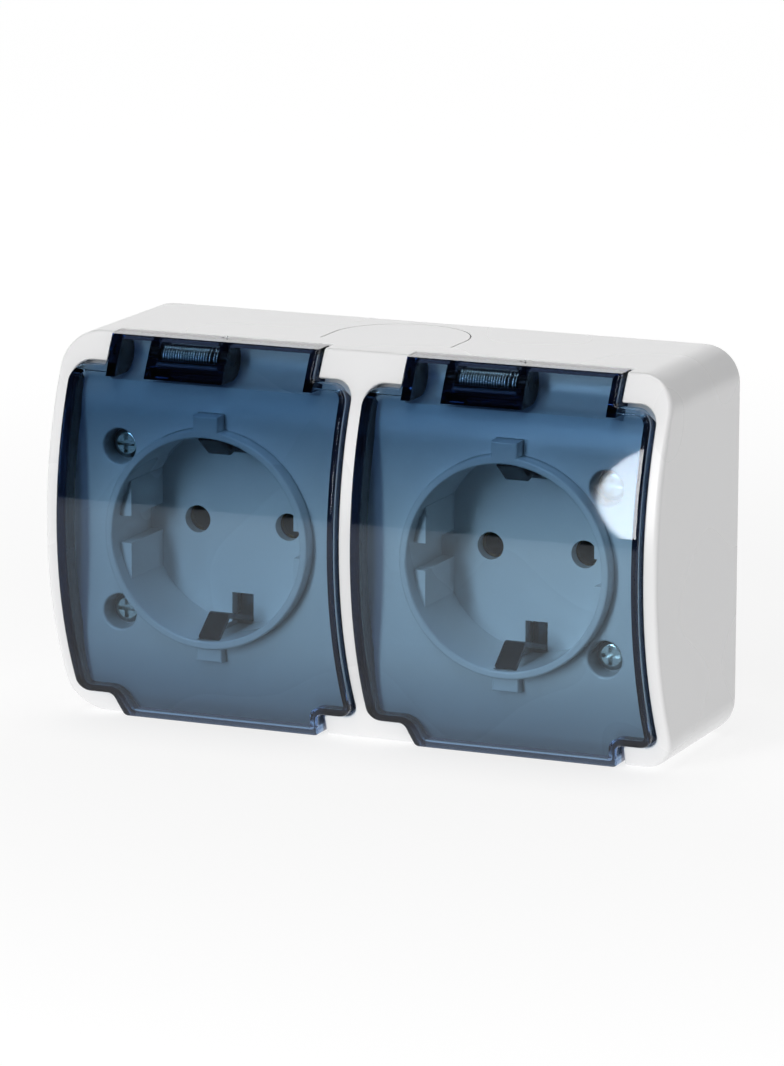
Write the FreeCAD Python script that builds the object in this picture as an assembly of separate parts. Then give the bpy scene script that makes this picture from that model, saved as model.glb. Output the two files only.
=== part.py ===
"""Weatherproof double wall socket for 4.8 mm round pins: a box that is fixed to the wall,
a curved front cover, two inserts and two sprung, see-through lids.

All values are millimetres. The frame sits in the middle of the back face, which lies on the
wall: X runs to the right, Z runs up, and the front looks along -Y. A "depth" is the distance
in front of the wall, so depth = -y.
"""
import FreeCAD
import Part
import math
import os

V = FreeCAD.Vector

PITCH = 60.8           # distance between the two socket centres

# Housing
HALF_W = PITCH / 2 + 31.8
HALF_H = 37.6          # half of the height
CORNER_R = 7.0         # corners in the front view
WALL = 2.2
BACK = 2.4             # thickness of the back wall
FRONT_R = 67.0         # radius of the bulged front, about a line parallel to X
FRONT_APEX = 44.6      # depth of the front at its highest point
FRONT_Z = 1.9          # height of that point
COVER_DROP = 10.0      # how far the joint line lies behind the front
RIM_ROUND = 0.9        # rounding of the front's outer edge
PLATE = 2.0            # thickness of the recess floor in the cover
FLOOR_DEPTH = FRONT_APEX - 7.2   # the flat middle of the recess floor

# Sockets
PIN_SPREAD = 9.5       # from the socket centre to each pin
PIN_HOLE_R = 2.65
WELL_R = 19.5          # inside of the round well
RING_R = 21.0          # outside of the round well
RING_FRONT = FLOOR_DEPTH + 3.0   # depth of the ring's front edge
LUG_HALF = 2.65         # half width of the lugs above and below the ring
LUG_OUT = 2.75          # how far the lugs stand out of the ring
WELL_DEPTH = 17.4
WELL_FLOOR = RING_FRONT - WELL_DEPTH   # depth of the face that the pins go through
WELL_BACK = WELL_FLOOR - 2.4
FLAT_X = WELL_R - 2.6  # the two side flats in the well
FLAT_FRONT = RING_FRONT - 3.2
CARRIER_FRONT = WELL_BACK - 0.2
CARRIER_BACK = BACK + 4.0
CARRIER_SCREW = (13.8, 9.9)      # from the socket centre
TERMINAL_Z = 7.4       # from the socket centre to a terminal screw
STRAP_T = 0.8
EARTH_BACK = CARRIER_FRONT - 1.8

# Lids
LID_PROUD = 1.9        # how far the lid stands out of the cover
LID_T = 1.6
LID_ROUND = 0.45       # rounding of its front edges
LID_HALF = PITCH / 2 - 1.7       # half width of the main body
LID_TOP = HALF_H - 5.75          # shoulders beside the hinge
LID_BOTTOM = 5.0 - HALF_H        # shoulders beside the lip
TAB_HALF = LID_HALF - 7.3        # half width of the hinge part
LIP_HALF = LID_HALF - 7.2        # half width where the lip starts
LIP_END = LIP_HALF - 1.1         # half width at the bottom edge
SKIRT_T = 1.6
SKIRT_BACK = 3.6       # how far the skirt reaches behind the housing front
LID_GAP = 0.4

# Hinge
AXIS_Z = HALF_H - 4.0  # height of the hinge line
AXIS_BEHIND = 2.6263   # how far the hinge line lies behind the housing front
EAR_R = 4.0
EAR_T = 1.9
STUB_R = 1.1
STUB_CLEAR = 0.06
SWING_R = 5.5          # nothing behind the shoulders comes closer to the hinge line
TROUGH_R = 5.0
SPRING_X = (-13.4, 2.8)   # outer faces of the two inner ears
COIL_R = 2.05          # middle of the wire
COIL_PITCH = 0.72
WIRE_R = 0.28
ARBOR_R = 1.25

# Screws of the cover, outer sides only
SCREW_X = HALF_W - 12.5
SCREW_Z = 16.0
SCREW_HOLE_R = 3.4
SCREW_SEAT = FLOOR_DEPTH - 5.0   # depth of the face under the screw heads
SCREW_POST = SCREW_SEAT - 3.8    # depth where the posts of the box end

# Wall side
WALL_HOLE = (HALF_W - 8.2, HALF_H - 8.6, 2.3)   # across, up, radius
INLET_Z = 17.6 - HALF_H          # middle of the cable inlet
RIB_X = HALF_W - 4.7

# Tongue of the cover and its notch in the box
TONGUE_X = -0.5
TONGUE_R = 13.25
TONGUE_D = 17.0        # depth of the middle of its round end

SIDES = (("left", -PITCH / 2), ("right", PITCH / 2))


def front_depth(z, lift=0.0):
    """Depth of the curved front at a height, on the curve grown by lift."""
    return FRONT_APEX - FRONT_R + math.sqrt((FRONT_R + lift) ** 2 - (z - FRONT_Z) ** 2)


AXIS_D = round(front_depth(AXIS_Z) - AXIS_BEHIND, 3)


def box(x0, x1, d0, d1, z0, z1):
    return Part.makeBox(x1 - x0, d1 - d0, z1 - z0, V(x0, -d1, z0))


def rod(x, z, r, d0, d1):
    """Round bar along the depth."""
    return Part.makeCylinder(r, d1 - d0, V(x, -d0, z), V(0, -1, 0))


def cone(x, z, r0, r1, d0, d1):
    return Part.makeCone(r0, r1, d1 - d0, V(x, -d0, z), V(0, -1, 0))


def xrod(x0, x1, d, z, r):
    """Round bar across the width."""
    return Part.makeCylinder(r, x1 - x0, V(x0, -d, z), V(1, 0, 0))


def rounded(points, radii, place):
    """Closed outline through points, with an arc of the given radius at each corner."""
    count = len(points)
    pieces = []
    for i in range(count):
        p = V(points[i][0], points[i][1], 0)
        a = V(points[i - 1][0], points[i - 1][1], 0).sub(p)
        b = V(points[(i + 1) % count][0], points[(i + 1) % count][1], 0).sub(p)
        a.normalize()
        b.normalize()
        r = radii[i]
        if r <= 0:
            pieces.append((p, None, p))
            continue
        half = a.getAngle(b) / 2
        reach = r / math.tan(half)
        mid = a.add(b)
        mid.normalize()
        centre = p.add(mid.multiply(r / math.sin(half)))
        toward = p.sub(centre)
        toward.normalize()
        crown = centre.add(toward.multiply(r))
        pieces.append((p.add(a.multiply(reach)), crown, p.add(b.multiply(reach))))
    edges = []
    for i in range(count):
        start, crown, end = pieces[i]
        if crown is not None:
            edges.append(Part.Arc(place(start), place(crown), place(end)).toShape())
        follow = pieces[(i + 1) % count][0]
        if end.sub(follow).Length > 1e-6:
            edges.append(Part.LineSegment(place(end), place(follow)).toShape())
    return Part.Face(Part.Wire(Part.__sortEdges__(edges)))


def front_prism(points, radii, d0, d1):
    """Outline in the front view (x, z), from depth d0 to d1."""
    face = rounded(points, radii, lambda p: V(p.x, -d0, p.y))
    return face.extrude(V(0, -(d1 - d0), 0))


def side_prism(points, radii, x0, x1):
    """Outline in the side view (depth, z), from x0 to x1."""
    face = rounded(points, radii, lambda p: V(x0, -p.x, p.y))
    return face.extrude(V(x1 - x0, 0, 0))


def block(half_w, half_h, r, d0, d1, x=0.0, z=0.0):
    x0, x1 = x - half_w, x + half_w
    z0, z1 = z - half_h, z + half_h
    return front_prism([(x0, z0), (x1, z0), (x1, z1), (x0, z1)], [r] * 4, d0, d1)


def bulge(offset, back=0.0):
    """Everything behind the curved front, which is grown by offset and moved back."""
    return xrod(-80, 80, FRONT_APEX - FRONT_R - back, FRONT_Z, FRONT_R + offset)


def housing_ring(outer_in, inner_in, d0, d1):
    """Ring between two insets of the housing outline."""
    outside = block(HALF_W - outer_in, HALF_H - outer_in, CORNER_R - outer_in, d0, d1)
    inside = block(HALF_W - inner_in, HALF_H - inner_in, CORNER_R - inner_in, d0 - 1, d1 + 1)
    return outside.cut(inside)


def union(shapes):
    total = shapes[0]
    if len(shapes) > 1:
        total = shapes[0].multiFuse(shapes[1:])
    return total.removeSplitter()


def group(solids):
    return Part.makeCompound(solids)


NODES = {}


def keep(name, shape):
    NODES[name] = shape


# The recess floor of the cover in the side view: flat behind the sockets, falling off in an
# arc to the top and the bottom, where it keeps a few millimetres behind the curved front.
def floor_front(lift, x0=-80.0, x1=80.0):
    """Space in front of the recess floor, which lift moves to the front."""
    flat = FLOOR_DEPTH + lift
    end = HALF_H + 0.8
    falls = (
        (20.6 - HALF_H, ((9.7 - HALF_H, 2.51), (-end, 3.62))),
        (HALF_H - 15.6, ((HALF_H - 10.1, 3.17), (HALF_H - 5.2, 4.06))),
    )
    arcs = []
    for start, bends in falls:
        points = [V(0, -flat, start)]
        for z, behind in bends:
            points.append(V(0, behind - front_depth(z) - lift, z))
        arcs.append(Part.Arc(*points).toShape())
    low_y = falls[0][1][1][1] - front_depth(-end) - lift
    top_z, behind = falls[1][1][1]
    top_y = behind - front_depth(top_z) - lift
    rest = [
        (-flat, falls[0][0], -flat, falls[1][0]),
        (top_y, top_z, top_y + 3.2, end),
        (top_y + 3.2, end, -80.0, end),
        (-80.0, end, -80.0, -end),
        (-80.0, -end, low_y, -end),
    ]
    lines = [Part.LineSegment(V(0, a, b), V(0, c, d)).toShape() for a, b, c, d in rest]
    face = Part.Face(Part.Wire(Part.__sortEdges__(arcs + lines)))
    face.translate(V(x0, 0, 0))
    return face.extrude(V(x1 - x0, 0, 0))


def lid_outline(cx, grow, d0, d1, top=HALF_H, bottom=-HALF_H):
    """Front view of a lid. A positive grow makes it larger on all sides."""
    g = grow
    half = [
        (LIP_END + g, bottom - g, 1.0),
        (LIP_HALF + g, LID_BOTTOM - g, max(1.3 - g, 0.3)),
        (LID_HALF + g, LID_BOTTOM - g, max(2.6 + g, 0.6)),
        (LID_HALF + g, LID_TOP + g, max(3.4 + g, 0.6)),
        (TAB_HALF + g, LID_TOP + g, max(0.7 - g, 0.3)),
        (TAB_HALF + g, top + g, 0.0),
    ]
    points = [(cx + x, z) for x, z, r in half] + [(cx - x, z) for x, z, r in reversed(half)]
    radii = [r for x, z, r in half] + [r for x, z, r in reversed(half)]
    return front_prism(points, radii, d0, d1)


def tongue(r, z0, z1, d_end):
    """Plate with a round end towards the wall, from z0 to z1."""
    end = Part.makeCylinder(r, z1 - z0, V(TONGUE_X, -TONGUE_D, z0), V(0, 0, 1))
    return end.fuse(box(TONGUE_X - r, TONGUE_X + r, TONGUE_D, d_end, z0, z1))


def on_front(edge, lift):
    """Whether an edge lies on the curved front grown by lift."""
    for share in (0.1, 0.5, 0.9):
        at = edge.valueAt(edge.FirstParameter + share * (edge.LastParameter - edge.FirstParameter))
        off = math.hypot(-at.y - (FRONT_APEX - FRONT_R), at.z - FRONT_Z)
        if abs(off - FRONT_R - lift) > 0.02:
            return False
    return True


def eased(shape, edges, r):
    """Rounds edges where the sizes leave room for it, and keeps them sharp where they don't."""
    try:
        done = shape.makeFillet(r, edges)
    except Part.OCCError:
        return shape
    if done.isValid() and len(done.Solids) == len(shape.Solids):
        return done
    return shape


# Box
def make_box():
    outside = block(HALF_W, HALF_H, CORNER_R, 0, 50)
    rim = [e for e in outside.Edges if abs(e.BoundBox.YMin) < 1e-4 and abs(e.BoundBox.YMax) < 1e-4]
    outside = outside.makeFillet(1.0, rim)
    shell = outside.common(bulge(0.0, COVER_DROP))
    shell = shell.cut(block(HALF_W - WALL, HALF_H - WALL, CORNER_R - WALL, BACK, 60))
    # ledge that the seal lies on
    ledge = housing_ring(1.0, 4.2, 0, 50).common(bulge(-5.2, COVER_DROP)).cut(bulge(-7.0, COVER_DROP))
    # posts for the cover screws and for the contact carriers, collars round the wall holes
    parts = [shell, ledge]
    for sx in (-1, 1):
        for sz in (-1, 1):
            parts.append(rod(sx * SCREW_X, sz * SCREW_Z, 3.6, 1.0, SCREW_POST))
            parts.append(rod(sx * WALL_HOLE[0], sz * WALL_HOLE[1], WALL_HOLE[2] * 2, 1.0, BACK + 2.6))
    for name, cx in SIDES:
        for s in (-1, 1):
            parts.append(rod(cx + s * CARRIER_SCREW[0], s * CARRIER_SCREW[1], 2.8, 1.0, CARRIER_BACK))
    parts.append(rod(0, INLET_Z, 11.0, 1.0, BACK + 1.6))
    # stiffening ribs beside the wells
    for sx in (-1, 1):
        parts.append(box(sx * RIB_X - 0.7, sx * RIB_X + 0.7, 1.0, 8.0, -12.0, 12.0))
    body = union(parts)
    cuts = []
    for sx in (-1, 1):
        for sz in (-1, 1):
            cuts.append(rod(sx * SCREW_X, sz * SCREW_Z, 1.45, 12.0, 40.0))
            cuts.append(rod(sx * WALL_HOLE[0], sz * WALL_HOLE[1], WALL_HOLE[2], -1.0, 9.0))
    for name, cx in SIDES:
        for s in (-1, 1):
            cuts.append(rod(cx + s * CARRIER_SCREW[0], s * CARRIER_SCREW[1], 1.25, BACK + 1.0, 9.0))
    cuts.append(rod(0, INLET_Z, 8.8, -1.0, BACK - 0.8))
    cuts.append(rod(0, INLET_Z, 7.0, -1.0, BACK + 3.6))
    cuts.append(tongue(TONGUE_R + 0.25, HALF_H - WALL - 0.1, HALF_H + 6.0, 50.0))
    for cut in cuts:
        body = body.cut(cut)
    return body.removeSplitter()


# Cover
def make_cover():
    outside = block(HALF_W, HALF_H, CORNER_R, 5, 60).common(bulge(0.0))
    rim = [edge for edge in outside.Edges if on_front(edge, 0.0)]
    outside = outside.makeFillet(RIM_ROUND, rim)
    shell = outside.cut(bulge(0.0, COVER_DROP))
    # hollow behind the recess floor; it stays low behind the hinge troughs
    hollow = block(HALF_W - WALL, HALF_H - WALL, CORNER_R - WALL, 0, 60)
    hollow = hollow.cut(floor_front(-PLATE))
    hollow = hollow.cut(box(-80, 80, AXIS_D - 7.1, 80, AXIS_Z - 7.2, 60))
    cover = shell.cut(hollow)
    # the round-ended tongue that reaches over the top of the box
    over = tongue(TONGUE_R, HALF_H - WALL, HALF_H, front_depth(HALF_H) - COVER_DROP + 3.2)
    # spigot inside the box
    spigot = housing_ring(2.4, 3.9, 0, 60).common(bulge(1.5, COVER_DROP)).cut(bulge(-3.6, COVER_DROP))
    root = housing_ring(1.2, 3.9, 0, 60).common(bulge(1.6, COVER_DROP)).cut(bulge(0.0, COVER_DROP))
    parts = [cover, over, spigot, root]
    for sx in (-1, 1):
        for sz in (-1, 1):
            boss = rod(sx * SCREW_X, sz * SCREW_Z, 4.4, SCREW_SEAT - 3.4, FLOOR_DEPTH - 0.9)
            for name, cx in SIDES:
                boss = boss.cut(rod(cx, 0, RING_R + 1.4, 20, 60))
            parts.append(boss)
    cover = union(parts)
    cuts = []
    for sx in (-1, 1):
        for sz in (-1, 1):
            cuts.append(rod(sx * SCREW_X, sz * SCREW_Z, SCREW_HOLE_R, SCREW_SEAT, 60))
            cuts.append(rod(sx * SCREW_X, sz * SCREW_Z, 1.9, 20, 60))
    for name, cx in SIDES:
        window = lid_outline(cx, LID_GAP, 10, 70, HALF_H + 3, -HALF_H - 3).common(floor_front(0.0))
        cuts.append(window)
        bay = TAB_HALF + LID_GAP
        cuts.append(xrod(cx - bay, cx + bay, AXIS_D, AXIS_Z, TROUGH_R))
        cuts.append(box(cx - bay, cx + bay, AXIS_D, 60, AXIS_Z - TROUGH_R, HALF_H + 8))
        for s in (-1, 1):
            x0 = cx + s * (bay + 0.7) - 0.9
            cuts.append(xrod(x0, x0 + 1.8, AXIS_D, AXIS_Z, STUB_R + STUB_CLEAR))
        cuts.append(rod(cx, 0, RING_R + 0.12, 20, 60))
        x0 = cx - LUG_HALF - 0.2
        x1 = cx + LUG_HALF + 0.2
        out = RING_R + LUG_OUT + 0.15
        cuts.append(box(x0, x1, 25, 60, -out, out))
    for cut in cuts:
        cover = cover.cut(cut)
    cover = cover.removeSplitter()
    # the mouths of the lid recesses and of the screw wells are eased
    for name, cx in SIDES:
        for s in (-1, 1):
            x0, x1 = sorted((cx + s * (LIP_END - 1.0), cx + s * (LID_HALF + 1.0)))
            mouths = []
            for edge in cover.Edges:
                at = edge.BoundBox
                if on_front(edge, 0.0) and at.XMin > x0 and at.XMax < x1:
                    mouths.append(edge)
            cover = eased(cover, mouths, 0.3)
    for sx in (-1, 1):
        for sz in (-1, 1):
            rims = []
            for edge in cover.Edges:
                middle = edge.valueAt((edge.FirstParameter + edge.LastParameter) / 2)
                reach = math.hypot(middle.x - sx * SCREW_X, middle.z - sz * SCREW_Z)
                if abs(reach - SCREW_HOLE_R) < 0.01 and -edge.BoundBox.YMax > FLOOR_DEPTH - 0.4:
                    rims.append(edge)
            cover = eased(cover, rims, 0.4)
    return cover


# Lids
def ear(cx, x0, x1):
    round_end = xrod(cx + x0, cx + x1, AXIS_D, AXIS_Z, EAR_R)
    front = box(cx + x0, cx + x1, AXIS_D, 60, AXIS_Z - EAR_R, AXIS_Z + EAR_R)
    return round_end.fuse(front).common(bulge(LID_PROUD - 0.3))


def make_lid(cx):
    body = lid_outline(cx, 0.0, 10, 70).common(bulge(LID_PROUD))
    body = eased(body, [edge for edge in body.Edges if on_front(edge, LID_PROUD)], LID_ROUND)
    hollow = lid_outline(cx, -SKIRT_T, 5, 75, HALF_H + 0.3).common(bulge(LID_PROUD - LID_T))
    body = body.cut(hollow)
    body = body.cut(bulge(-SKIRT_BACK))
    body = body.common(floor_front(0.3))
    # the top edge turns back over the hinge
    body = body.cut(box(cx - 40, cx + 40, 0, AXIS_D - 2.5, AXIS_Z - 6, 60))
    parts = [body]
    left, right = SPRING_X
    for x0 in (-TAB_HALF, TAB_HALF - EAR_T, left, right - EAR_T):
        parts.append(ear(cx, x0, x0 + EAR_T))
    # cradle below the coil, open at the top
    cradle = xrod(cx + left + 1, cx + right - 1, AXIS_D, AXIS_Z, EAR_R)
    cradle = cradle.fuse(box(cx + left + 1, cx + right - 1, AXIS_D, 60, AXIS_Z - EAR_R, AXIS_Z))
    cradle = cradle.common(box(cx - 40, cx + 40, 20, 60, 0, AXIS_Z - 0.5)).common(bulge(LID_PROUD - 0.3))
    cradle = cradle.cut(xrod(cx + left + EAR_T, cx + right - EAR_T, AXIS_D, AXIS_Z, 3.0))
    parts.append(cradle)
    for s in (-1, 1):
        x0 = cx + s * (TAB_HALF + 0.8) - 1.0
        parts.append(xrod(x0, x0 + 2.0, AXIS_D, AXIS_Z, STUB_R))
    lid = union(parts)
    lid = lid.cut(xrod(cx + left - 1, cx + right + 1, AXIS_D, AXIS_Z, ARBOR_R))
    # the shoulders and the side skirts pass in front of the cover as the lid swings
    for x0, x1 in ((-LID_HALF - 1, -TAB_HALF), (TAB_HALF, LID_HALF + 1)):
        relief = xrod(cx + x0, cx + x1, AXIS_D, AXIS_Z, SWING_R)
        stub = xrod(cx + x0 - 1, cx + x1 + 1, AXIS_D, AXIS_Z, STUB_R)
        lid = lid.cut(relief.common(bulge(LID_PROUD - LID_T)).cut(stub))
    # notch for the spring end in the top edge
    x0 = cx + right - EAR_T
    lid = lid.cut(box(x0 - 1.2, x0, AXIS_D - 3.0, AXIS_D - 1.4, HALF_H - 1.6, HALF_H + 1.4))
    return lid.removeSplitter()


def wire_path(points, r):
    """Round wire through points, with a ball at each bend."""
    parts = []
    for a, b in zip(points, points[1:]):
        run = b.sub(a)
        parts.append(Part.makeCylinder(r, run.Length, a, run))
    for p in points[1:-1]:
        parts.append(Part.makeSphere(r, p))
    return parts


def coil_turns(cx, x0, pitch, turns):
    """Helix that starts below the hinge line and turns by way of the back."""
    helix = Part.makeHelix(pitch, pitch * turns, COIL_R)
    corners = []
    for i in range(6):
        angle = math.radians(60 * i)
        corners.append(V(COIL_R + WIRE_R * math.cos(angle), 0, WIRE_R * math.sin(angle)))
    section = Part.makePolygon(corners + corners[:1])
    coil = Part.Wire(helix.Edges).makePipeShell([section], True, True)
    coil.rotate(V(0, 0, 0), V(0, 1, 0), 90)
    coil.translate(V(cx + x0, -AXIS_D, AXIS_Z))
    return coil


def make_spring(cx):
    left, right = SPRING_X
    starts = [left + EAR_T + 0.45]
    parts = []
    for pitch, turns in ((COIL_PITCH, 13), (1.2, 1), (0.6, 1.25)):
        parts.append(coil_turns(cx, starts[-1], pitch, turns))
        starts.append(starts[-1] + pitch * turns)
    for x in starts[:-1]:
        parts.append(Part.makeSphere(WIRE_R * 1.02, V(cx + x, -AXIS_D, AXIS_Z - COIL_R)))
    # one end stands in the cradle of the lid, the other hooks over the edge of the housing
    low = AXIS_Z - COIL_R
    back = AXIS_D - COIL_R
    x = cx + starts[0]
    parts += wire_path([V(x, -AXIS_D, low), V(x, -AXIS_D - 1.6, low)], WIRE_R)
    x = cx + starts[-1]
    over = HALF_H + WIRE_R + 0.07
    path = [V(x, -back, AXIS_Z), V(x, -back, HALF_H - 0.4), V(x, -back + 1.2, over), V(x, -back + 2.2, over)]
    parts += wire_path(path, WIRE_R)
    parts.append(Part.makeSphere(WIRE_R * 1.02, V(x, -back, AXIS_Z)))
    solid = parts[0]
    for more in parts[1:]:
        solid = solid.fuse(more)
    return solid


# Inserts
def make_well(cx):
    body = rod(cx, 0, RING_R, WELL_BACK, RING_FRONT)
    ring_edge = [e for e in body.Edges if e.BoundBox.YMax < 1e-3 - RING_FRONT]
    body = body.makeFillet(0.4, ring_edge)
    body = body.cut(rod(cx, 0, WELL_R, WELL_FLOOR, 60))
    mouth = []
    for edge in body.Edges:
        at = edge.BoundBox
        if at.YMax < 1e-3 - RING_FRONT and abs(at.ZMax - WELL_R) < 1e-3:
            mouth.append(edge)
    body = eased(body, mouth, 0.35)
    for s in (-1, 1):
        x0, x1 = sorted((cx + s * FLAT_X, cx + s * (WELL_R + 0.4)))
        flat = box(x0, x1, WELL_BACK + 0.4, FLAT_FRONT, -9.5, 9.5)
        flat = flat.cut(box(cx - 30, cx + 30, 0, 60, -2.6, 2.6))
        body = body.fuse(flat.common(rod(cx, 0, WELL_R + 0.4, 0, 60)))
    # lugs at the top and the bottom that key the insert to the cover
    behind = FLOOR_DEPTH - 4.4
    x0, x1 = cx - LUG_HALF, cx + LUG_HALF
    high = box(x0, x1, behind, RING_FRONT, RING_R - 0.7, RING_R + LUG_OUT)
    low = box(x0, x1, behind, RING_FRONT - 1.6, -RING_R - LUG_OUT, 0.7 - RING_R)
    lugs = []
    for lug in (high, low):
        front = lug.BoundBox.YMin + 1e-3
        lug = lug.makeFillet(0.4, [e for e in lug.Edges if e.BoundBox.YMax < front])
        lugs.append(lug.cut(rod(cx, 0, RING_R - 1.0, 0, 60)))
    # snap flange behind the cover
    flange = rod(cx, 0, RING_R + 0.9, FLOOR_DEPTH - 5.0, FLOOR_DEPTH - 3.2)
    body = union([body, lugs[0], lugs[1], flange.cut(rod(cx, 0, RING_R - 1.0, 0, 60))])
    for s in (-1, 1):
        body = body.cut(rod(cx + s * PIN_SPREAD, 0, PIN_HOLE_R, 0, 30))
        # slot for the earth clip, through the floor and up into the wall
        z0, z1 = sorted((s * (WELL_R - 5.8), s * (WELL_R + 0.8)))
        body = body.cut(box(cx - 2.25, cx + 2.25, 10, RING_FRONT - 0.9, z0, z1))
    return body.removeSplitter()


def make_carrier(cx):
    body = block(17.4, 13.0, 3.0, CARRIER_BACK, CARRIER_FRONT, cx)
    cuts = [box(cx - 4.4, cx + 4.4, CARRIER_FRONT - 2.0, 40, -20, 20)]
    for s in (-1, 1):
        # round chamber and terminal chamber for each line contact, open to the back
        cuts.append(rod(cx + s * PIN_SPREAD, 0, 3.8, 0, CARRIER_FRONT - 0.8))
        cuts.append(rod(cx + s * PIN_SPREAD, 0, PIN_HOLE_R + 0.35, 0, 40))
        side = -s
        z0, z1 = sorted((side * 2.0, side * 10.6))
        cuts.append(box(cx + s * PIN_SPREAD - 3.3, cx + s * PIN_SPREAD + 3.3, 0, CARRIER_FRONT - 6.2, z0, z1))
        cuts.append(rod(cx + s * PIN_SPREAD, side * TERMINAL_Z, 2.6, 0, 40))
        cuts.append(rod(cx + s * CARRIER_SCREW[0], s * CARRIER_SCREW[1], 1.7, 0, 40))
        cuts.append(rod(cx + s * CARRIER_SCREW[0], s * CARRIER_SCREW[1], 3.0, CARRIER_FRONT - 2.8, 40))
    cuts.append(rod(cx, 0, 1.5, CARRIER_BACK + 1.6, 40))
    body = union([body])
    for cut in cuts:
        body = body.cut(cut)
    return body.removeSplitter()


def make_line_contact(cx, s):
    """Brass sleeve for one pin, with its terminal block."""
    x = cx + s * PIN_SPREAD
    side = -s
    back = CARRIER_BACK + 1.8
    front = CARRIER_FRONT - 6.4
    sleeve = rod(x, 0, 3.5, back, CARRIER_FRONT - 1.0)
    z0, z1 = sorted((side * 1.0, side * 10.3))
    terminal = box(x - 3.0, x + 3.0, back, front, z0, z1)
    body = union([sleeve, terminal])
    body = body.cut(rod(x, 0, 2.45, 0, 40))
    # slits make the sleeve springy
    body = body.cut(box(x - 0.4, x + 0.4, front + 0.4, 40, -6, 6))
    body = body.cut(rod(x, side * TERMINAL_Z, 1.45, back + 0.8, 40))
    za, zb = sorted((side * 5.6, side * 14.0))
    body = body.cut(box(x - 1.5, x + 1.5, back + 1.4, front - 1.6, za, zb))
    return body.removeSplitter()


def terminal_screw(x, z, d_end, d_head, head_t=1.8, head_r=2.3, r=1.4):
    shank = rod(x, z, r, d_end, d_head)
    head = rod(x, z, head_r, d_head, d_head + head_t)
    screw = shank.fuse(head)
    slot = box(x - head_r - 1, x + head_r + 1, d_head + head_t - 0.9, d_head + 5, z - 0.35, z + 0.35)
    return screw.cut(slot).removeSplitter()


def cross_screw(x, z, r, d_end, d_head, head_r, head_t):
    """Pan head screw with a cross recess."""
    shank = rod(x, z, r, d_end, d_head)
    head = rod(x, z, head_r, d_head, d_head + head_t)
    top = [e for e in head.Edges if e.BoundBox.YMax < -(d_head + head_t) + 1e-3]
    head = head.makeFillet(head_t * 0.55, top)
    screw = shank.fuse(head)
    arm = head_r * 0.62
    top_d = d_head + head_t
    recess = box(x - arm, x + arm, top_d - 1.2, top_d + 1, z - 0.42, z + 0.42)
    recess = recess.fuse(box(x - 0.42, x + 0.42, top_d - 1.2, top_d + 1, z - arm, z + arm))
    return screw.cut(recess).removeSplitter()


def make_earth(cx):
    """Earth strap: a bar behind the well floor whose two ends bend up through the slots."""
    t = STRAP_T
    b = EARTH_BACK
    bar = box(cx - 2.1, cx + 2.1, b, b + t, -19.4, 19.4)
    hub = rod(cx, 0, 4.0, b, b + t)
    parts = [bar, hub]
    for s in (-1, 1):
        up = RING_FRONT
        inner = [(b, 18.0), (b + 2.9, 18.5), (up - 6.8, 15.1), (up - 1.6, 18.9)]
        outer = [(up - 2.2, 19.6), (up - 6.9, 16.1), (b + 3.0, 19.4), (b, 19.4)]
        points = [(d, s * z) for d, z in inner + outer]
        radii = [0, 1.0, 1.6, 0, 0, 0.8, 1.8, 0]
        clip = side_prism(points, radii, cx - 2.1, cx + 2.1)
        parts.append(clip)
    body = union(parts)
    body = body.cut(rod(cx, 0, 1.5, 0, 40))
    return body.removeSplitter()


def make_line_link(s):
    """Strip that joins the same contact of both sockets, behind the carriers."""
    side = -s
    z0, z1 = sorted((side * 3.8, side * 6.8))
    left_x = -PITCH / 2 + s * PIN_SPREAD
    right_x = PITCH / 2 + s * PIN_SPREAD
    back = BACK + 2.0
    strip = box(left_x - 2.4, right_x + 2.4, back, back + STRAP_T, z0, z1)
    parts = [strip]
    for x in (left_x, right_x):
        parts.append(box(x - 2.4, x - 1.6, back, CARRIER_BACK + 1.8, z0, z1))
        parts.append(box(x + 1.6, x + 2.4, back, CARRIER_BACK + 1.8, z0, z1))
    return union(parts)


def make_grommet():
    z = INLET_Z
    t = BACK
    outside = rod(0, z, 8.6, 0.1, t - 0.8)
    waist = rod(0, z, 6.95, 0.1, t + 2.2)
    inside = rod(0, z, 8.3, t + 1.6, t + 3.0)
    nose = cone(0, z, 6.2, 5.0, t + 3.0, t + 6.0)
    body = union([outside, waist, inside, nose])
    body = body.cut(rod(0, z, 4.0, -1, 20))
    return body.removeSplitter()


keep("rear_box", make_box())
keep("front_cover", make_cover())
seal = housing_ring(2.4, 3.9, 0, 50).common(bulge(-3.6, COVER_DROP)).cut(bulge(-5.2, COVER_DROP))
keep("box_seal", seal)
keep("cable_grommet", make_grommet())

for side_name, centre in SIDES:
    keep("socket_well_" + side_name, make_well(centre))
    keep("contact_carrier_" + side_name, make_carrier(centre))
    keep("earth_strap_" + side_name, make_earth(centre))
    keep("line_contact_" + side_name, make_line_contact(centre, -1))
    keep("neutral_contact_" + side_name, make_line_contact(centre, 1))
    keep("lid_" + side_name, make_lid(centre))
    keep("lid_spring_" + side_name, make_spring(centre))
    pin = xrod(centre + SPRING_X[0], centre + SPRING_X[1], AXIS_D, AXIS_Z, ARBOR_R)
    keep("spring_pin_" + side_name, pin)

keep("live_link", make_line_link(-1))
keep("neutral_link", make_line_link(1))
earth_link = box(-PITCH / 2 - 2.1, PITCH / 2 + 2.1, EARTH_BACK - STRAP_T, EARTH_BACK, 13.6, 16.6)
keep("earth_link", earth_link)

cover_screws = []
for sx in (-1, 1):
    for sz in (-1, 1):
        cover_screws.append(cross_screw(sx * SCREW_X, sz * SCREW_Z, 1.4, 14.0, SCREW_SEAT, 2.9, 2.0))
keep("cover_screws", group(cover_screws))

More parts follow.
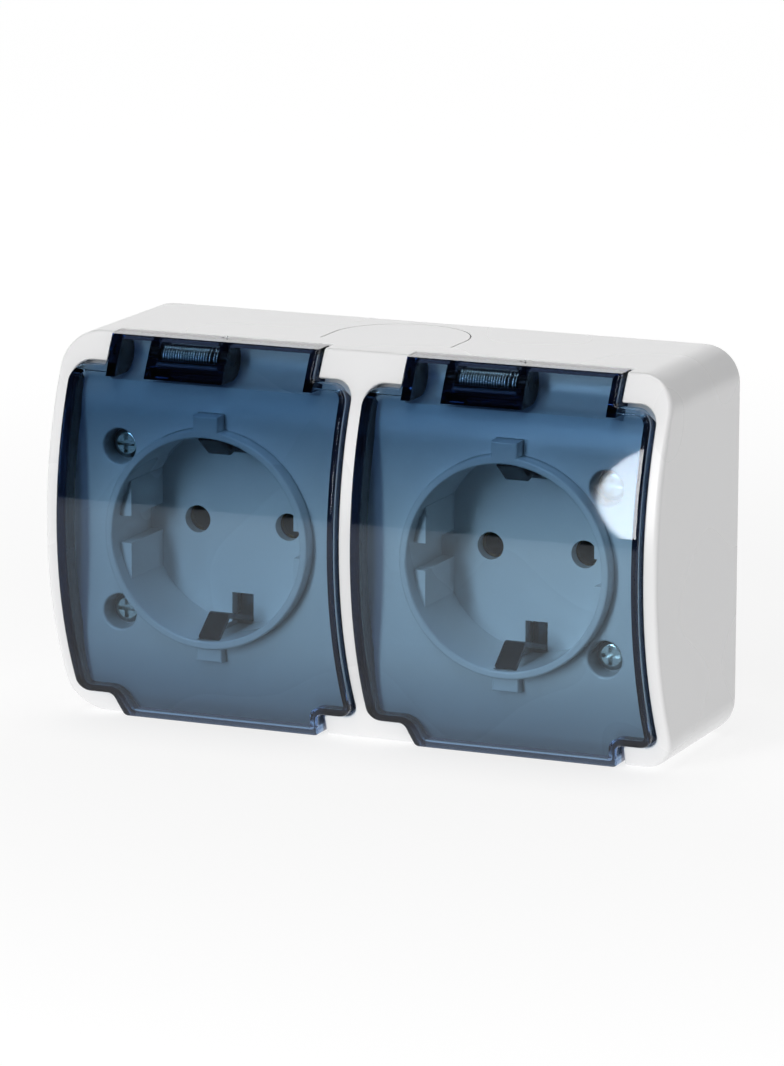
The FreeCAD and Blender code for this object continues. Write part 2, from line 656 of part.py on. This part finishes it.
carrier_screws = []
terminal_screws = []
for side_name, centre in SIDES:
    for s in (-1, 1):
        x, z = centre + s * CARRIER_SCREW[0], s * CARRIER_SCREW[1]
        carrier_screws.append(cross_screw(x, z, 1.2, BACK + 1.2, CARRIER_FRONT - 2.8, 2.7, 1.8))
        x, z = centre + s * PIN_SPREAD, -s * TERMINAL_Z
        terminal_screws.append(terminal_screw(x, z, CARRIER_BACK + 2.8, CARRIER_FRONT - 6.4))
    terminal_screws.append(terminal_screw(centre, 0, CARRIER_BACK + 2.6, EARTH_BACK + STRAP_T, 1.1, 2.6))
keep("carrier_screws", group(carrier_screws))
keep("terminal_screws", group(terminal_screws))

os.makedirs("parts", exist_ok=True)
for node, shape in NODES.items():
    shape.exportStep("parts/" + node + ".step")
    print(node, len(shape.Solids), round(shape.Volume, 1), shape.isValid())
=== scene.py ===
import math

import bpy
from mathutils import Matrix, Quaternion, Vector


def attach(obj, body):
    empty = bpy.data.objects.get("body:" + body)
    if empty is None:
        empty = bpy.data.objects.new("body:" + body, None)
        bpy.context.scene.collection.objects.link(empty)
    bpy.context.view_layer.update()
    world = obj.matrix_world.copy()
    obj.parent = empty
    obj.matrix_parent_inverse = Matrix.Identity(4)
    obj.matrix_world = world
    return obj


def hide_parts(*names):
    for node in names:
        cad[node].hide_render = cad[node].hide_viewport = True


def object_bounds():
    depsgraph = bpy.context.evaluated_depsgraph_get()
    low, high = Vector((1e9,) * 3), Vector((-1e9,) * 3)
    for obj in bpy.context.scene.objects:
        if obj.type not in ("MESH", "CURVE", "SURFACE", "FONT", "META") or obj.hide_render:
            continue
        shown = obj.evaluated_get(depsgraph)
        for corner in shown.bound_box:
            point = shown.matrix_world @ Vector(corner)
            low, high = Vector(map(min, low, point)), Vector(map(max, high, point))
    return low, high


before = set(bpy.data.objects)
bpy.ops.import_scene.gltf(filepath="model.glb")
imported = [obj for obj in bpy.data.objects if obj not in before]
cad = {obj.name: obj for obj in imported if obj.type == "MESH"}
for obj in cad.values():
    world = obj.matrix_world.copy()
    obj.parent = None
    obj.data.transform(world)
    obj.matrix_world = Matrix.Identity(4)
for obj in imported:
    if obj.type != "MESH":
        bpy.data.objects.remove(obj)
cad_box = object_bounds()

# The box that is screwed to the wall: a square tray with rounded corners that the cover drops
# over. It is injection moulded in white ABS, with an even, faintly pebbled satin surface.
MM = 0.001


def colour(hex_code):
    """An sRGB hex colour as linear RGBA."""
    parts = [int(hex_code[i:i + 2], 16) / 255.0 for i in (1, 3, 5)]
    linear = [p / 12.92 if p <= 0.04045 else ((p + 0.055) / 1.055) ** 2.4 for p in parts]
    return (*linear, 1.0)


def material(name):
    """A new material with an empty tree."""
    made = bpy.data.materials.new(name)
    made.use_nodes = True
    made.node_tree.nodes.clear()
    return made


def add(made, kind, inputs=None, **settings):
    """Adds a node with its settings; an input is a value, or an output to link from."""
    node = made.node_tree.nodes.new(kind)
    for key, value in settings.items():
        setattr(node, key, value)
    for key, value in (inputs or {}).items():
        if isinstance(value, bpy.types.NodeSocket):
            made.node_tree.links.new(value, node.inputs[key])
        else:
            node.inputs[key].default_value = value
    return node


def per(size):
    """The noise scale that gives spots of this size in millimetres."""
    return 1.0 / (size * MM)


def dress(made, *names):
    """Gives CAD nodes a material in every slot."""
    for name in names:
        mesh = cad[name].data
        if not mesh.materials:
            mesh.materials.append(made)
        for slot in range(len(mesh.materials)):
            mesh.materials[slot] = made


# White ABS from a fine-eroded tool: clean and bright with a soft gloss. The real grain is about
# 0.05 mm and is drawn at 0.36 mm so that it shows. The flow of the melt leaves broad, barely
# visible clouds of 30 mm.
white_abs = material("white_abs_moulded")
place = add(white_abs, "ShaderNodeTexCoord").outputs["Object"]
clouds = add(white_abs, "ShaderNodeTexNoise", {"Vector": place, "Scale": per(30.3), "Detail": 0.0})
tone = add(white_abs, "ShaderNodeMix", {"Factor": clouds.outputs["Fac"], "A": colour("#EFEFF0"),
           "B": colour("#F2F2F2")}, data_type="RGBA")
grain = add(white_abs, "ShaderNodeTexNoise", {"Vector": place, "Scale": per(0.357), "Detail": 3.0})
gloss = add(white_abs, "ShaderNodeMapRange", {"Value": clouds.outputs["Fac"], "To Min": 0.26,
            "To Max": 0.29})
bump = add(white_abs, "ShaderNodeBump", {"Height": grain.outputs["Fac"], "Strength": 0.06,
           "Distance": 0.02 * MM})
skin = add(white_abs, "ShaderNodeBsdfPrincipled", {"Base Color": tone.outputs[2],
           "Roughness": gloss.outputs["Result"], "IOR": 1.54, "Normal": bump.outputs["Normal"]})
add(white_abs, "ShaderNodeOutputMaterial", {"Surface": skin.outputs["BSDF"]})
dress(white_abs, "rear_box")

# The cable grommet in the back wall and the seal under the cover: soft black EPDM rubber, pressed
# into place. Dull, dusty in patches of 4 mm, with a fine skin from the mould, drawn at 0.3 mm.
rubber = material("black_epdm_moulded")
place = add(rubber, "ShaderNodeTexCoord").outputs["Object"]
bloom = add(rubber, "ShaderNodeTexNoise", {"Vector": place, "Scale": per(3.85), "Detail": 4.0})
tone = add(rubber, "ShaderNodeMix", {"Factor": bloom.outputs["Fac"], "A": colour("#141415"),
           "B": colour("#26262A")}, data_type="RGBA")
dull = add(rubber, "ShaderNodeMapRange", {"Value": bloom.outputs["Fac"], "To Min": 0.5,
           "To Max": 0.72})
pores = add(rubber, "ShaderNodeTexNoise", {"Vector": place, "Scale": per(0.286), "Detail": 2.0})
bump = add(rubber, "ShaderNodeBump", {"Height": pores.outputs["Fac"], "Strength": 0.15,
           "Distance": 0.02 * MM})
skin = add(rubber, "ShaderNodeBsdfPrincipled", {"Base Color": tone.outputs[2], "IOR": 1.5,
           "Roughness": dull.outputs["Result"], "Normal": bump.outputs["Normal"]})
add(rubber, "ShaderNodeOutputMaterial", {"Surface": skin.outputs["BSDF"]})
dress(rubber, "box_seal", "cable_grommet")

# The contact carriers behind the round inserts: dark grey glass-filled polyamide, moulded, and
# screwed to the posts of the box. Satin, with short pale fibres just under the skin, drawn at
# 0.45 mm across and four times as long.
grey_nylon = material("grey_glass_filled_nylon_moulded")
place = add(grey_nylon, "ShaderNodeTexCoord").outputs["Object"]
drawn = add(grey_nylon, "ShaderNodeVectorMath", {0: place, 1: (1.0, 1.0, 0.25)},
            operation="MULTIPLY")
fibre = add(grey_nylon, "ShaderNodeTexNoise", {"Vector": drawn.outputs["Vector"],
            "Scale": per(0.455), "Detail": 3.0})
tone = add(grey_nylon, "ShaderNodeMix", {"Factor": fibre.outputs["Fac"], "A": colour("#2E3033"),
           "B": colour("#3E4145")}, data_type="RGBA")
satin = add(grey_nylon, "ShaderNodeMapRange", {"Value": fibre.outputs["Fac"], "To Min": 0.38,
            "To Max": 0.55})
bump = add(grey_nylon, "ShaderNodeBump", {"Height": fibre.outputs["Fac"], "Strength": 0.1,
           "Distance": 0.02 * MM})
skin = add(grey_nylon, "ShaderNodeBsdfPrincipled", {"Base Color": tone.outputs[2], "IOR": 1.53,
           "Roughness": satin.outputs["Result"], "Normal": bump.outputs["Normal"]})
add(grey_nylon, "ShaderNodeOutputMaterial", {"Surface": skin.outputs["BSDF"]})
dress(grey_nylon, "contact_carrier_left", "contact_carrier_right")

# The line and neutral contacts with their terminals, and the strips that join the two sockets:
# stamped from brass sheet and bent. Brown-yellow, dulled in patches of 3 mm, with the lines of
# the rolling drawn at 0.25 mm.
brass = material("brass_sheet_stamped")
place = add(brass, "ShaderNodeTexCoord").outputs["Object"]
rolled = add(brass, "ShaderNodeVectorMath", {0: place, 1: (1.0, 1.0, 0.06)}, operation="MULTIPLY")
lines = add(brass, "ShaderNodeTexNoise", {"Vector": rolled.outputs["Vector"], "Scale": per(0.25),
            "Detail": 2.0})
patch = add(brass, "ShaderNodeTexNoise", {"Vector": place, "Scale": per(3.33), "Detail": 3.0})
tone = add(brass, "ShaderNodeMix", {"Factor": patch.outputs["Fac"], "A": colour("#7E6331"),
           "B": colour("#977E4D")}, data_type="RGBA")
dull = add(brass, "ShaderNodeMapRange", {"Value": patch.outputs["Fac"], "To Min": 0.38,
           "To Max": 0.22})
bump = add(brass, "ShaderNodeBump", {"Height": lines.outputs["Fac"], "Strength": 0.12,
           "Distance": 0.01 * MM})
skin = add(brass, "ShaderNodeBsdfPrincipled", {"Base Color": tone.outputs[2], "Metallic": 1.0,
           "Roughness": dull.outputs["Result"], "Normal": bump.outputs["Normal"]})
add(brass, "ShaderNodeOutputMaterial", {"Surface": skin.outputs["BSDF"]})
dress(brass, "live_link", "neutral_link", "earth_link", "line_contact_left", "line_contact_right",
      "neutral_contact_left", "neutral_contact_right")

# The earth straps, whose ends bend up into the wells as the two clips: sprung bronze strip with a
# tin-nickel plating. Smooth, with a soft rolled sheen in lines of 0.2 mm and a faint haze in
# patches of 2.4 mm. Its colour is painted far darker than bare tin-nickel, as painted shade for
# the unlit well that the metal mirrors.
strip = material("tin_nickel_plated_bronze_strip")
place = add(strip, "ShaderNodeTexCoord").outputs["Object"]
rolled = add(strip, "ShaderNodeVectorMath", {0: place, 1: (1.0, 0.05, 0.05)}, operation="MULTIPLY")
lines = add(strip, "ShaderNodeTexNoise", {"Vector": rolled.outputs["Vector"], "Scale": per(0.2),
            "Detail": 2.0})
haze = add(strip, "ShaderNodeTexNoise", {"Vector": place, "Scale": per(2.38), "Detail": 3.0})
# painted shade: a near-black metal colour for the unlit well that the strip mirrors
tone = add(strip, "ShaderNodeMix", {"Factor": haze.outputs["Fac"], "A": colour("#25272B"),
           "B": colour("#404349")}, data_type="RGBA")
sheen = add(strip, "ShaderNodeMapRange", {"Value": haze.outputs["Fac"], "To Min": 0.16,
            "To Max": 0.26})
bump = add(strip, "ShaderNodeBump", {"Height": lines.outputs["Fac"], "Strength": 0.1,
           "Distance": 0.01 * MM})
skin = add(strip, "ShaderNodeBsdfPrincipled", {"Base Color": tone.outputs[2], "Metallic": 1.0,
           "Roughness": sheen.outputs["Result"], "Normal": bump.outputs["Normal"]})
add(strip, "ShaderNodeOutputMaterial", {"Surface": skin.outputs["BSDF"]})
dress(strip, "earth_strap_left", "earth_strap_right")

# All screws: cross-recessed and slotted steel, cold headed, zinc plated and passivated. Bright
# blue-grey metal whose passivation drifts from bluish to faint green in patches of 2 mm, with
# pits drawn at 0.28 mm.
zinc = material("zinc_plated_steel")
place = add(zinc, "ShaderNodeTexCoord").outputs["Object"]
drift = add(zinc, "ShaderNodeTexNoise", {"Vector": place, "Scale": per(2.08), "Detail": 3.0})
tone = add(zinc, "ShaderNodeMix", {"Factor": drift.outputs["Fac"], "A": colour("#8C9399"),
           "B": colour("#A3A89F")}, data_type="RGBA")
sheen = add(zinc, "ShaderNodeMapRange", {"Value": drift.outputs["Fac"], "To Min": 0.12,
            "To Max": 0.24})
pits = add(zinc, "ShaderNodeTexNoise", {"Vector": place, "Scale": per(0.278), "Detail": 2.0})
bump = add(zinc, "ShaderNodeBump", {"Height": pits.outputs["Fac"], "Strength": 0.12,
           "Distance": 0.01 * MM})
skin = add(zinc, "ShaderNodeBsdfPrincipled", {"Base Color": tone.outputs[2], "Metallic": 1.0,
           "Roughness": sheen.outputs["Result"], "Normal": bump.outputs["Normal"]})
add(zinc, "ShaderNodeOutputMaterial", {"Surface": skin.outputs["BSDF"]})
dress(zinc, "cover_screws", "carrier_screws", "terminal_screws")

# The curved cover with its two lid recesses, and the round inserts that snap in from behind: the
# same white ABS as the box, from the same kind of tool.
dress(white_abs, "front_cover", "socket_well_left", "socket_well_right")

# The pins of the lid springs, one between the inner ears of each lid: turned steel, blackened
# against rust. Dark, with a low oily shine over turning marks drawn at 0.33 mm.
pin = material("blackened_steel_turned")
place = add(pin, "ShaderNodeTexCoord").outputs["Object"]
rings = add(pin, "ShaderNodeTexNoise", {"Vector": place, "Scale": per(0.333), "Detail": 2.0})
tone = add(pin, "ShaderNodeMix", {"Factor": rings.outputs["Fac"], "A": colour("#1B1C1F"),
           "B": colour("#2E3034")}, data_type="RGBA")
sheen = add(pin, "ShaderNodeMapRange", {"Value": rings.outputs["Fac"], "To Min": 0.3,
            "To Max": 0.4})
bump = add(pin, "ShaderNodeBump", {"Height": rings.outputs["Fac"], "Strength": 0.1,
           "Distance": 0.01 * MM})
skin = add(pin, "ShaderNodeBsdfPrincipled", {"Base Color": tone.outputs[2], "Metallic": 0.8,
           "Roughness": sheen.outputs["Result"], "Normal": bump.outputs["Normal"]})
add(pin, "ShaderNodeOutputMaterial", {"Surface": skin.outputs["BSDF"]})
dress(pin, "spring_pin_left", "spring_pin_right")

# The lid springs, wound cold from drawn steel wire round the pins: a run of close turns, an open
# one, a short end and a leg up to the top edge of the cover. Bright bare steel with faint marks
# of the die, drawn at 0.4 mm. This round wire takes the place of the solids' six-sided wire.
HINGE_DEPTH = 34.0     # of the hinge line, in mm in front of the wall
HINGE_HEIGHT = 33.6    # above the middle of the box
SOCKET_X = 30.4        # of each socket's middle
COIL_R = 2.05          # to the middle of the wire
WIRE_R = 0.165
COIL_START = -10.75    # from the socket's middle
RUNS = ((18, 0.525), (1, 1.1), (1.5, 0.55))      # turns and their pitch
LEG = ((1.2, 2.2), (1.8, 3.2), (2.05, 4.3))      # behind and above the hinge line
STEPS = 24             # points in a turn
wire = material("drawn_spring_steel")
place = add(wire, "ShaderNodeTexCoord").outputs["Object"]
marks = add(wire, "ShaderNodeTexNoise", {"Vector": place, "Scale": per(0.4), "Detail": 2.0})
tone = add(wire, "ShaderNodeMix", {"Factor": marks.outputs["Fac"], "A": colour("#C4C8CC"),
           "B": colour("#E2E4E6")}, data_type="RGBA")
sheen = add(wire, "ShaderNodeMapRange", {"Value": marks.outputs["Fac"], "To Min": 0.14,
            "To Max": 0.24})
bump = add(wire, "ShaderNodeBump", {"Height": marks.outputs["Fac"], "Strength": 0.08,
           "Distance": 0.01 * MM})
skin = add(wire, "ShaderNodeBsdfPrincipled", {"Base Color": tone.outputs[2], "Metallic": 1.0,
           "Roughness": sheen.outputs["Result"], "Normal": bump.outputs["Normal"]})
add(wire, "ShaderNodeOutputMaterial", {"Surface": skin.outputs["BSDF"]})

for side, centre in (("left", -SOCKET_X), ("right", SOCKET_X)):
    points = []
    along = COIL_START
    angle = -90.0
    for turns, pitch in RUNS:
        for step in range(int(turns * STEPS)):
            a = math.radians(angle)
            points.append((along, -HINGE_DEPTH - COIL_R * math.cos(a),
                           HINGE_HEIGHT + COIL_R * math.sin(a)))
            along += pitch / STEPS
            angle += 360.0 / STEPS
    for behind, above in LEG:
        points.append((along, -HINGE_DEPTH + behind, HINGE_HEIGHT + above))
    line = bpy.data.curves.new("spring_line_" + side, "CURVE")
    line.dimensions = "3D"
    line.bevel_depth = WIRE_R * MM
    line.bevel_resolution = 3
    line.use_fill_caps = True
    run = line.splines.new("POLY")
    run.points.add(len(points) - 1)
    for point, (px, py, pz) in zip(run.points, points):
        point.co = ((centre + px) * MM, py * MM, pz * MM, 1.0)
    wound = bpy.data.objects.new("spring_line_" + side, line)
    bpy.context.scene.collection.objects.link(wound)
    graph = bpy.context.evaluated_depsgraph_get()
    mesh = bpy.data.meshes.new_from_object(wound.evaluated_get(graph))
    bpy.data.objects.remove(wound)
    bpy.data.curves.remove(line)
    mesh.name = "spring_wire_" + side
    mesh.materials.clear()
    mesh.materials.append(wire)
    mesh.polygons.foreach_set("use_smooth", [True] * len(mesh.polygons))
    piece = bpy.data.objects.new("spring_wire_" + side, mesh)
    bpy.context.scene.collection.objects.link(piece)
    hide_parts("lid_spring_" + side)
    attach(piece, side + "_lid")

# The sprung flap lids, each moulded in one piece of see-through smoked blue plastic with its
# skirt, lip, ears and spring cradle, and polished in the mould. The tint carries painted light and
# shade: between 5 and 31 mm up it darkens upwards as painted shade over the top; it is lighter in
# the strip over the hinge as a painted highlight; it is darker at the bottom lip as painted shade,
# and darker towards the left and lighter towards the right as painted light. A faint drift in
# patches of 25 mm is the plastic's own. The skirt and the ears behind the sheet are painted almost
# black, partly for their thickness and partly as painted shade.
SHEET_AXIS = (0.0, 22.4 * MM, 1.9 * MM)   # the line that the curved sheet is bent about
SHEET_INSIDE = 67.3 * MM                  # inner radius of the sheet
EDGE_START = SHEET_INSIDE - 0.3 * MM      # behind this radius the thick parts begin
EDGE_FULL = SHEET_INSIDE - 0.9 * MM
# the heights over which the tint darkens upwards, as painted shade
TOP_SHADE_Z = (5.0 * MM, 31.0 * MM)
STRIP_Z = (33.2 * MM, 35.6 * MM)
LIP_Z = (-33.0 * MM, -20.0 * MM)
ACROSS_X = (-60.0 * MM, 60.0 * MM)
smoked = material("smoked_blue_acrylic_polished")
place = add(smoked, "ShaderNodeTexCoord").outputs["Object"]
height = add(smoked, "ShaderNodeSeparateXYZ", {"Vector": place})
drift = add(smoked, "ShaderNodeTexNoise", {"Vector": place, "Scale": per(25.0), "Detail": 2.0})
# painted shade: the tint darkens towards the top of the lid
painted_top_shade = add(smoked, "ShaderNodeMapRange", {"Value": height.outputs["Z"], "From Min": TOP_SHADE_Z[0],
           "From Max": TOP_SHADE_Z[1]})
# painted highlight: the tint is lighter in the strip over the hinge
painted_strip_highlight = add(smoked, "ShaderNodeMapRange", {"Value": height.outputs["Z"], "From Min": STRIP_Z[0],
           "From Max": STRIP_Z[1], "To Min": 0.0, "To Max": -0.9})
# painted light: the tint is darker to the left and lighter to the right
painted_side_light = add(smoked, "ShaderNodeMapRange", {"Value": height.outputs["X"], "From Min": ACROSS_X[0],
            "From Max": ACROSS_X[1], "To Min": 0.22, "To Max": -0.12})
# painted shade: the tint darkens towards the bottom lip
painted_lip_shade = add(smoked, "ShaderNodeMapRange", {"Value": height.outputs["Z"], "From Min": LIP_Z[0],
           "From Max": LIP_Z[1], "To Min": 0.3, "To Max": 0.0})
upper = add(smoked, "ShaderNodeMath", {0: painted_top_shade.outputs["Result"], 1: painted_strip_highlight.outputs["Result"]})
lower = add(smoked, "ShaderNodeMath", {0: painted_side_light.outputs["Result"], 1: painted_lip_shade.outputs["Result"]})
# the sum of the painted light and shade on the lid
painted_shade_sum = add(smoked, "ShaderNodeMath", {0: upper.outputs["Value"], 1: lower.outputs["Value"]})
# a faint random drift of the tint, added to the painted light and shade
drift_and_painted_shade = add(smoked, "ShaderNodeMath", {0: drift.outputs["Fac"], 1: 0.16,
           2: painted_shade_sum.outputs["Value"]}, operation="MULTIPLY_ADD")
# the glass tint, which carries the painted light and shade
tint_and_painted_shade = add(smoked, "ShaderNodeMix", {"Factor": drift_and_painted_shade.outputs["Value"], "A": colour("#ECFCFF"),
          "B": colour("#A6C4D7")}, data_type="RGBA")
# the colour that lamp light takes through the sheet, with the same painted light and shade
veil_with_painted_shade = add(smoked, "ShaderNodeMix", {"Factor": drift_and_painted_shade.outputs["Value"], "A": colour("#F3FDFF"),
           "B": colour("#C8D8E3")}, data_type="RGBA")
from_axis = add(smoked, "ShaderNodeVectorMath", {0: place, 1: SHEET_AXIS}, operation="SUBTRACT")
across = add(smoked, "ShaderNodeVectorMath", {0: from_axis.outputs["Vector"],
             1: (0.0, 1.0, 1.0)}, operation="MULTIPLY")
radius = add(smoked, "ShaderNodeVectorMath", {0: across.outputs["Vector"]}, operation="LENGTH")
# painted shade: the skirt and ears are painted almost black, partly for their thickness
thick_and_painted_dark = add(smoked, "ShaderNodeMapRange", {"Value": radius.outputs["Value"],
            "From Min": EDGE_FULL, "From Max": EDGE_START, "To Min": 1.0, "To Max": 0.0})
tint_with_painted_edge_shade = add(smoked, "ShaderNodeMix", {"Factor": thick_and_painted_dark.outputs["Result"], "A": tint_and_painted_shade.outputs[2],
           "B": colour("#302F3C")}, data_type="RGBA")
# lamp light through the skirt and ears is darkened the same way
shade = add(smoked, "ShaderNodeMix", {"Factor": thick_and_painted_dark.outputs["Result"], "A": veil_with_painted_shade.outputs[2],
            "B": colour("#818695")}, data_type="RGBA")
ripple = add(smoked, "ShaderNodeTexNoise", {"Vector": place, "Scale": per(11.1), "Detail": 1.0})
bump = add(smoked, "ShaderNodeBump", {"Height": ripple.outputs["Fac"], "Strength": 0.05,
           "Distance": 0.05 * MM})
glass = add(smoked, "ShaderNodeBsdfPrincipled", {"Base Color": tint_with_painted_edge_shade.outputs[2],
            "Roughness": 0.02, "IOR": 1.41, "Transmission Weight": 1.0,
            "Normal": bump.outputs["Normal"]})
clear = add(smoked, "ShaderNodeBsdfTransparent", {"Color": shade.outputs[2]})
path = add(smoked, "ShaderNodeLightPath")
both = add(smoked, "ShaderNodeMixShader", {0: path.outputs["Is Shadow Ray"],
           1: glass.outputs["BSDF"], 2: clear.outputs["BSDF"]})
tint = add(smoked, "ShaderNodeVolumeAbsorption", {"Color": colour("#59A2D7"), "Density": 225.0})
add(smoked, "ShaderNodeOutputMaterial", {"Surface": both.outputs["Shader"],
    "Volume": tint.outputs["Volume"]})
dress(smoked, "lid_left", "lid_right")

# The studio: a white paper table whose front edge, TABLE_FRONT, the lids mirror as the line
# across their middle. The paper glows a little. Its glow is dimmed close to the box as a painted
# contact shadow, and in front of the box, outside the picture, as painted shade that the lids
# mirror.
TABLE_FRONT = -0.62    # in metres, as the other sizes of the studio
TABLE_BACK = 4.0
TABLE_SIDE = 3.0
# the painted contact shadow fades out between these distances
NEAR = (0.05, 0.5)     # distances from the middle of the box
# the painted shade in front of the box fades out between these depths
FRONT = (-0.55, -0.25)
floor_z = cad_box[0][2]
corners = [(-TABLE_SIDE, TABLE_FRONT, floor_z), (TABLE_SIDE, TABLE_FRONT, floor_z),
           (TABLE_SIDE, TABLE_BACK, floor_z), (-TABLE_SIDE, TABLE_BACK, floor_z)]
mesh = bpy.data.meshes.new("floor")
mesh.from_pydata(corners, [], [(0, 1, 2, 3)])
floor = bpy.data.objects.new("floor", mesh)
bpy.context.scene.collection.objects.link(floor)
paper = material("floor_paper")
place = add(paper, "ShaderNodeTexCoord").outputs["Object"]
reach = add(paper, "ShaderNodeVectorMath", {0: place}, operation="LENGTH")
# painted contact shadow: the glow is dimmer close to the box
painted_contact_shadow = add(paper, "ShaderNodeMapRange", {"Value": reach.outputs["Value"],
                 "From Min": NEAR[0], "From Max": NEAR[1], "To Min": 0.87, "To Max": 1.0},
                 interpolation_type="SMOOTHSTEP")
depth = add(paper, "ShaderNodeSeparateXYZ", {"Vector": place})
# painted shade: the glow is dimmer in front of the box, where the lids mirror it
painted_front_shade = add(paper, "ShaderNodeMapRange", {"Value": depth.outputs["Y"], "From Min": FRONT[0],
           "From Max": FRONT[1], "To Min": 0.6, "To Max": 1.0}, interpolation_type="SMOOTHSTEP")
# the glow with its painted contact shadow and painted shade
glow_with_painted_shade = add(paper, "ShaderNodeMath", {0: painted_contact_shadow.outputs["Result"],
            1: painted_front_shade.outputs["Result"]}, operation="MULTIPLY")
skin = add(paper, "ShaderNodeBsdfPrincipled", {"Base Color": colour("#898989"),
           "Roughness": 0.9, "Specular IOR Level": 0.0,
           "Emission Color": glow_with_painted_shade.outputs["Value"], "Emission Strength": 0.9})
add(paper, "ShaderNodeOutputMaterial", {"Surface": skin.outputs["BSDF"]})
mesh.materials.append(paper)

# The room: white below the table's edge and behind the object, dim overhead and in front.
world = bpy.data.worlds.new("studio")
bpy.context.scene.world = world
world.use_nodes = True
world.node_tree.nodes.clear()
where = add(world, "ShaderNodeTexCoord")
axes = add(world, "ShaderNodeSeparateXYZ", {0: where.outputs["Generated"]})
low = add(world, "ShaderNodeMapRange", {"Value": axes.outputs["Z"], "From Min": -0.075,
          "From Max": -0.065, "To Min": 1.0, "To Max": 0.04})
back = add(world, "ShaderNodeMapRange", {"Value": axes.outputs["Y"], "From Min": -0.1,
           "From Max": 0.25, "To Min": 0.0, "To Max": 1.0})
roof = add(world, "ShaderNodeMapRange", {"Value": axes.outputs["Z"], "From Min": 0.35,
           "From Max": 0.6, "To Min": 1.0, "To Max": 0.1})
rear = add(world, "ShaderNodeMath", {0: back.outputs["Result"], 1: roof.outputs["Result"]},
           operation="MULTIPLY")
white = add(world, "ShaderNodeMath", {0: low.outputs["Result"], 1: rear.outputs["Value"]},
            operation="MAXIMUM")
glow = add(world, "ShaderNodeBackground", {"Color": white.outputs["Value"], "Strength": 0.52})
add(world, "ShaderNodeOutputWorld", {"Surface": glow.outputs["Background"]})


def lamp(name, azimuth, elevation, distance, width, height, radiance, lean=0.0):
    """An area light that faces the object; azimuth 0 is straight in front and negative is left."""
    data = bpy.data.lights.new(name, "AREA")
    data.shape = "RECTANGLE"
    data.size = width
    data.size_y = height
    data.energy = radiance * math.pi * width * height
    made = bpy.data.objects.new(name, data)
    a = math.radians(azimuth)
    e = math.radians(elevation)
    away = Vector((math.sin(a) * math.cos(e), -math.cos(a) * math.cos(e), math.sin(e)))
    made.location = distance * away
    turn = Quaternion((0.0, 0.0, 1.0), math.radians(lean))
    made.rotation_euler = (away.to_track_quat("Z", "Y") @ turn).to_euler()
    bpy.context.scene.collection.objects.link(made)


# The soft boxes: angles in degrees, then distance, width and height in metres, then radiance. The
# key leans so that the right lid mirrors it as the white patch.
lamp("key", -14.35, 14.0, 1.27, 0.163, 0.66, 17.2, lean=2.5)
lamp("over", 0.0, 86.0, 1.3, 0.7, 0.7, 3.8)
lamp("mid", -5.0, 45.0, 1.3, 0.5, 0.5, 4.0)
lamp("back", 202.0, 14.0, 1.6, 1.3, 0.6, 0.8)
lamp("fill", 30.0, 8.0, 1.3, 0.4, 0.4, 0.5)

# The camera, fitted to the photograph.
PICTURE_HEIGHT = 1066.0    # in pixels
FOCAL = 6070.64            # in pixels
SENSOR = 36.0
YAW = 0.400
PITCH = 0.209
ROLL = 0.004
eye = bpy.data.cameras.new("camera")
eye.sensor_fit = "VERTICAL"
eye.sensor_height = SENSOR
eye.lens = FOCAL / PICTURE_HEIGHT * SENSOR
eye.clip_start = 0.05
eye.clip_end = 50.0
camera = bpy.data.objects.new("camera", eye)
camera.location = (0.4401, -1.0628, 0.2401)
forward = Vector((-math.sin(YAW) * math.cos(PITCH), math.cos(YAW) * math.cos(PITCH),
                  -math.sin(PITCH)))
level = Vector((math.cos(YAW), math.sin(YAW), 0.0))
upright = level.cross(forward)
right = math.cos(ROLL) * level + math.sin(ROLL) * upright
up = -math.sin(ROLL) * level + math.cos(ROLL) * upright
camera.rotation_euler = Matrix((right, up, -forward)).transposed().to_euler()
bpy.context.scene.collection.objects.link(camera)
bpy.context.scene.camera = camera
bpy.context.scene.view_settings.view_transform = "Standard"
bpy.context.scene.cycles.caustics_refractive = False
bpy.context.scene.cycles.caustics_reflective = False
